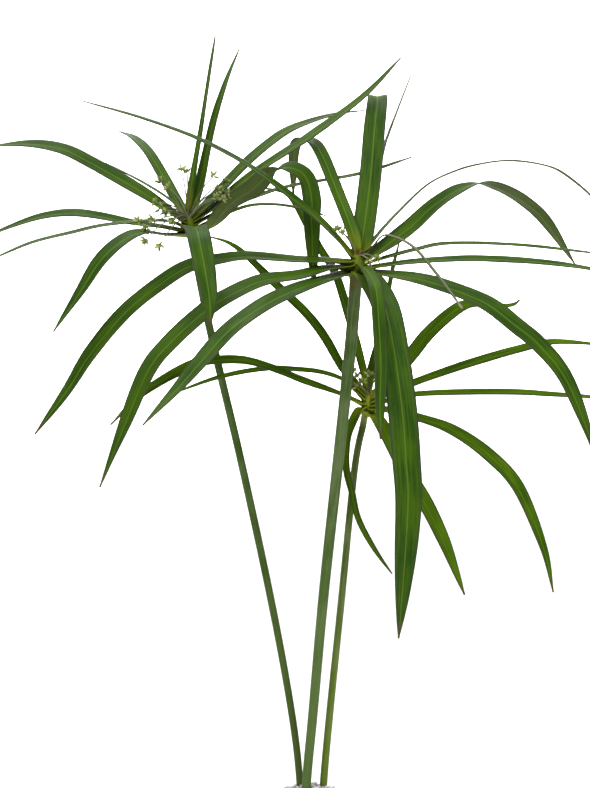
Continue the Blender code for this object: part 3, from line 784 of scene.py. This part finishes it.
    def build_flower_head(self) -> bpy.types.Object:
        """Models the flower head: arched rays that each end in a star of flat spikelets."""
        name = f"{self.side}_flower_head"
        start = self.stem.hub + self.stem.lean * (self.culm_top - 1.0)
        bm, (tone,) = traced_bmesh(Trait.TONE)
        for place in self.spikelets:
            tip = self.stem.hub + Vector(place)
            self.add_ray(bm, start, tip, tone)
            self.add_star(bm, tip, (tip - start).normalized(), tone)
        for index in range(self.bud_scales):
            axis = self.stem.lean + Vector((0.5, 0.0, 0.0))
            axis.rotate(Matrix.Rotation(2.4 * index, 3, self.stem.lean))
            self.add_spikelet(bm, start - self.stem.lean, axis.normalized(), 3.6 + 0.5 * (index % 3), tone, 2)
        return show(f"{name}_umbel", to_mesh(name, bm), [name],
                    [self.skins["ray"], self.skins["spikelet"], self.skins["scale"]])

    def add_ray(self, bm: bmesh.types.BMesh, start: Vector, tip: Vector, tone: bmesh.types.BMLayerItem) -> None:
        """Adds one arched ray, a thin tapering stalk."""
        arch = Vector((0, 0, self.ray_arch * (tip - start).length))
        line = Centreline([start, start.lerp(tip, 0.35) + arch * 0.9, start.lerp(tip, 0.7) + arch * 0.8, tip])
        ring = bmesh.ops.create_circle(bm, segments=8, radius=1.0, cap_ends=True)["verts"]
        cap = ring[0].link_faces[0]
        ring = list(cap.verts)
        spokes = [vert.co.copy() for vert in ring]
        shade = self.chance.random()
        faces = []
        for row in range(11):
            if row:
                cap = bmesh.ops.extrude_discrete_faces(bm, faces=[cap])["faces"][0]
                ring = list(cap.verts)
            reach = line.length * row / 10.0
            turn = Vector((0, 0, 1)).rotation_difference(line.direction(reach, 0.5)).to_matrix()
            for vert, spoke in zip(ring, spokes):
                vert.co = line.place(reach) + turn @ (spoke * self.ray_radius * (1.2 - 0.04 * row))
                vert[tone] = shade
        walk = [cap]
        seen = {cap}
        while walk:
            face = walk.pop()
            faces.append(face)
            near = {other for edge in face.edges for other in edge.link_faces} - seen
            seen |= near
            walk.extend(near)
        bmesh.ops.recalc_face_normals(bm, faces=faces)

    def add_star(self, bm: bmesh.types.BMesh, centre: Vector, outward: Vector,
                 tone: bmesh.types.BMLayerItem) -> None:
        """Adds one cluster of spikelets that spread from the ray's end."""
        count = self.chance.randint(5, 7)
        side = outward.orthogonal().normalized()
        for index in range(count + 1):
            spread = math.radians(self.chance.uniform(35.0, 80.0)) if index else 0.0
            axis = outward.copy()
            axis.rotate(Matrix.Rotation(spread, 3, side))
            axis.rotate(Matrix.Rotation(2.0 * math.pi * index / count, 3, outward))
            fork = centre + axis * self.chance.uniform(0.1, 0.6)
            self.add_spikelet(bm, fork, axis, self.chance.uniform(2.3, 3.2), tone, 1)

    def add_spikelet(self, bm: bmesh.types.BMesh, centre: Vector, axis: Vector, length: float,
                     tone: bmesh.types.BMLayerItem, skin: int) -> None:
        """Adds one flat spikelet with its two rows of overlapping scales."""
        verts = bmesh.ops.create_uvsphere(bm, u_segments=8, v_segments=10, radius=1.0)["verts"]
        turn = Vector((0, 0, 1)).rotation_difference(axis).to_matrix()
        spin = Matrix.Rotation(self.chance.uniform(0.0, math.pi), 3, "Z")
        shade = self.chance.random()
        for vert in verts:
            x, y, z = vert.co
            scale_row = 1.0 + 0.22 * math.sin(z * 14.0 + (math.pi if x < 0 else 0.0)) * abs(x)
            point = 1.0 - 0.45 * max(0.0, z)
            shape = Vector((x * 0.72 * scale_row * point, y * 0.40 * point, (z + 1.0) * 0.5 * length))
            vert.co = centre + turn @ (spin @ shape)
            vert[tone] = shade
            for face in vert.link_faces:
                face.material_index = skin


@dataclass
class Gravel:
    """The bed of gravel, coloured dark as painted shade between the pebbles, and the loose pebbles that show on its
    heap.
    """

    rng: random.Random
    skin: bpy.types.Material
    bed_shade_skin: bpy.types.Material
    stems: list[Stem]
    top: float = 98.7
    edge_height: float = 80.5
    edge_radius: float = 36.5
    foot_height: float = 5.35
    foot_radius: float = 29.7
    exponent: float = 1.6
    bed_drop: float = 2.2
    pebble_radius: tuple[float, float] = (1.0, 2.1)
    pebble_count: int = 820

    def surface(self, radius: float) -> float:
        """Returns the height of the heap at a distance from the axis."""
        share = min(1.0, radius / self.edge_radius)
        return self.top - (self.top - self.edge_height) * share ** self.exponent

    def build(self) -> bpy.types.Object:
        """Models the bed and its pebbles as one piece."""
        bm, (tone,) = traced_bmesh(Trait.TONE)
        outline = [(0.0, self.foot_height), (self.foot_radius, self.foot_height)]
        outline += [(self.edge_radius * part / 8.0, self.surface(self.edge_radius * part / 8.0) - self.bed_drop)
                    for part in range(8, -1, -1)]
        verts = [bm.verts.new((radius, 0.0, height)) for radius, height in outline]
        edges = [bm.edges.new(pair) for pair in zip(verts, verts[1:])]
        bmesh.ops.spin(bm, geom=verts + edges, axis=(0, 0, 1), cent=(0, 0, 0), steps=64,
                       angle=2.0 * math.pi, use_merge=True)
        bmesh.ops.remove_doubles(bm, verts=bm.verts, dist=0.001)
        bmesh.ops.recalc_face_normals(bm, faces=bm.faces)
        # The bed takes the dark material: painted shade for the gaps between the pebbles.
        for face in bm.faces:
            face.material_index = 1
        laid: list[tuple[Vector, float]] = []
        for _ in range(self.pebble_count * 14):
            if len(laid) == self.pebble_count:
                break
            size = self.rng.uniform(*self.pebble_radius)
            radius = (self.edge_radius - 0.8 * size) * math.sqrt(self.rng.random())
            angle = self.rng.uniform(0.0, 2.0 * math.pi)
            spot = Vector((radius * math.cos(angle), radius * math.sin(angle), 0.0))
            spot.z = self.surface(radius) - size * 0.75 - self.rng.uniform(0.0, 1.6)
            if self.blocked(spot, size) or any((spot - other).length < 0.70 * (size + near)
                                               for other, near in laid):
                continue
            laid.append((spot, size))
            self.add_pebble(bm, spot, size, tone)
        return show("gravel_pebbles", to_mesh("gravel_pebbles", bm), ["gravel"],
                    [self.skin, self.bed_shade_skin])

    def blocked(self, spot: Vector, size: float) -> bool:
        """Tells whether a culm stands where the pebble would lie."""
        return any((Vector(place) - spot).to_2d().length < stem.radii[0] + size * 0.9
                   for stem in self.stems for place in stem.route[1:2])

    def add_pebble(self, bm: bmesh.types.BMesh, spot: Vector, size: float,
                   tone: bmesh.types.BMLayerItem) -> None:
        """Adds one worn pebble: a ball stretched, turned and dented at random."""
        verts = bmesh.ops.create_icosphere(bm, subdivisions=2, radius=1.0)["verts"]
        stretch = Vector((self.rng.uniform(0.85, 1.15), self.rng.uniform(0.7, 1.0), self.rng.uniform(0.55, 0.85)))
        turn = Matrix.Rotation(self.rng.uniform(0.0, math.pi), 3, "Z")
        turn = turn @ Matrix.Rotation(self.rng.uniform(-0.5, 0.5), 3, "X")
        shade = self.rng.random()
        for vert in verts:
            dent = 1.0 + 0.16 * noise.noise(vert.co * 1.6 + spot)
            vert.co = spot + turn @ ((vert.co * stretch) * (size * dent))
            vert[tone] = shade


@dataclass
class Planter:
    """The plain tapered pot with a band round its rim."""

    skin: bpy.types.Material
    height: float = 84.0
    base_radius: float = 33.0
    rim_radius: float = 43.0
    wall: float = 3.5
    floor: float = 5.0
    band_height: float = 11.0
    band_step: float = 2.0
    sides: int = 128

    def build(self) -> bpy.types.Object:
        """Models the pot: its outline is rounded at each corner and spun."""
        band_foot = self.height - self.band_height
        wall_top = self.rim_radius - self.band_step
        outline = [
            (0.0, 0.0), (self.base_radius, 0.0), (wall_top, band_foot), (self.rim_radius, band_foot + 0.4),
            (self.rim_radius, self.height), (wall_top - self.wall, self.height),
            (wall_top - self.wall - 1.2, band_foot), (self.base_radius - 2.9, self.floor), (0.0, self.floor),
        ]
        bm = bmesh.new()
        verts = [bm.verts.new((radius, 0.0, height)) for radius, height in outline]
        for pair in zip(verts, verts[1:]):
            bm.edges.new(pair)
        bmesh.ops.bevel(bm, geom=verts[1:-1], affect="VERTICES", offset=1.2, segments=4, profile=0.5, material=-1)
        bmesh.ops.spin(bm, geom=bm.verts[:] + bm.edges[:], axis=(0, 0, 1), cent=(0, 0, 0), steps=self.sides,
                       angle=2.0 * math.pi, use_merge=True)
        bmesh.ops.remove_doubles(bm, verts=bm.verts, dist=0.001)
        bmesh.ops.recalc_face_normals(bm, faces=bm.faces)
        return show("planter_pot", to_mesh("planter_pot", bm), ["planter"], [self.skin])


@dataclass
class Studio:
    """A pale floor that sweeps up behind, soft lights and the photograph's camera."""

    floor_colour: Colour = (0.90, 0.90, 0.90)
    camera_place: tuple[float, float, float] = (-0.0072, -1.38638, 0.47325)
    camera_drop: float = math.radians(8.0)
    lens: float = 142.13
    world_strength: float = 0.35

    def build(self) -> None:
        """Builds the stage, the lights and the camera."""
        self.build_floor()
        aim = (0.0, 0.0, 0.3)
        self.add_light("key", (-0.9, -1.5, 2.0), aim, 1.3, 42.0)
        self.add_light("overhead", (0.3, -0.3, 2.2), aim, 1.4, 20.0)
        self.add_light("rim", (-0.3, 0.9, 1.9), aim, 1.0, 18.0)
        self.add_light("fill", (1.6, -1.2, 0.9), aim, 1.2, 14.0)
        self.add_light("backdrop", (0.0, 2.6, 1.9), (0.0, 4.7, 0.0), 2.0, 210.0)
        world = bpy.data.worlds.new("studio")
        world.use_nodes = True
        world.node_tree.nodes["Background"].inputs["Color"].default_value = (1.0, 1.0, 1.0, 1.0)
        world.node_tree.nodes["Background"].inputs["Strength"].default_value = self.world_strength
        bpy.context.scene.world = world
        bpy.context.scene.view_settings.view_transform = "Standard"
        data = bpy.data.cameras.new("camera")
        data.lens = self.lens
        data.sensor_width = 36.0
        camera = bpy.data.objects.new("camera", data)
        camera.location = self.camera_place
        camera.rotation_euler = (math.pi / 2.0 - self.camera_drop, 0.0, 0.0)
        bpy.context.scene.collection.objects.link(camera)
        bpy.context.scene.camera = camera

    def build_floor(self) -> None:
        """Builds the floor and its backdrop as one curved sheet."""
        bm = bmesh.new()
        line = Centreline([(0, -6, 0), (0, 0, 0), (0, 3.0, 0), (0, 4.6, 0.5), (0, 5.2, 2.0), (0, 5.2, 6.0)])
        bmesh.ops.create_grid(bm, x_segments=2, y_segments=80, size=1.0)
        for vert in bm.verts:
            place = line.place((vert.co.y + 1.0) / 2.0 * line.length)
            vert.co = Vector((vert.co.x * 8.0, place.y, max(0.0, place.z)))
        sheet = bpy.data.objects.new("studio_floor", to_mesh("studio_floor", bm))
        sheet.data.shade_smooth()
        paint = Paint("studio_paper", 0.9, specular=0.2)
        paint.colour(self.floor_colour)
        sheet.data.materials.append(paint.material)
        bpy.context.scene.collection.objects.link(sheet)

    def add_light(self, name: str, place: tuple[float, float, float], aim: tuple[float, float, float],
                  size: float, power: float) -> None:
        """Adds one soft square light that faces its aim."""
        data = bpy.data.lights.new(name, "AREA")
        data.size = size
        data.energy = power
        light = bpy.data.objects.new(name, data)
        light.location = place
        light.rotation_euler = (Vector(aim) - Vector(place)).to_track_quat("-Z", "Y").to_euler()
        bpy.context.scene.collection.objects.link(light)


def main() -> None:
    """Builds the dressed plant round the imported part."""
    logging.basicConfig(level=logging.INFO, format="%(message)s")
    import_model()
    Studio().build()
    Planter(GLAZE.make()).build()
    log.info("planter built")
    Gravel(random.Random(5), PEBBLE_SKIN.make(), BED_SHADE_SKIN.make(), list(STEMS.values())).build()
    log.info("gravel built")
    shared = {"upper": UPPER_SKIN.make(), "under": UNDER_SKIN.make(), "dry": DRY_SKIN.make(),
              "ray": RAY_SKIN.make(), "spikelet": SPIKELET_SKIN.make(), "scale": SCALE_SKIN.make()}
    # The right crown takes the lighter blade copies: painted light over its shaded hub and blades.
    painted_light_skins = {"upper": PAINTED_LIGHT_UPPER_SKIN.make(), "under": PAINTED_LIGHT_UNDER_SKIN.make()}
    for side, stem in STEMS.items():
        skins = {**shared, **(painted_light_skins if side == "right" else {}), "culm": CULM_SKINS[side].make()}
        Crown(side, stem, BRACTS[side], FLOWER_HEADS[side], skins, bud_scales=BUD_SCALES[side]).build()
        log.info("%s crown built with %d bracts", side, len(BRACTS[side]))


if __name__ == "__main__":
    main()
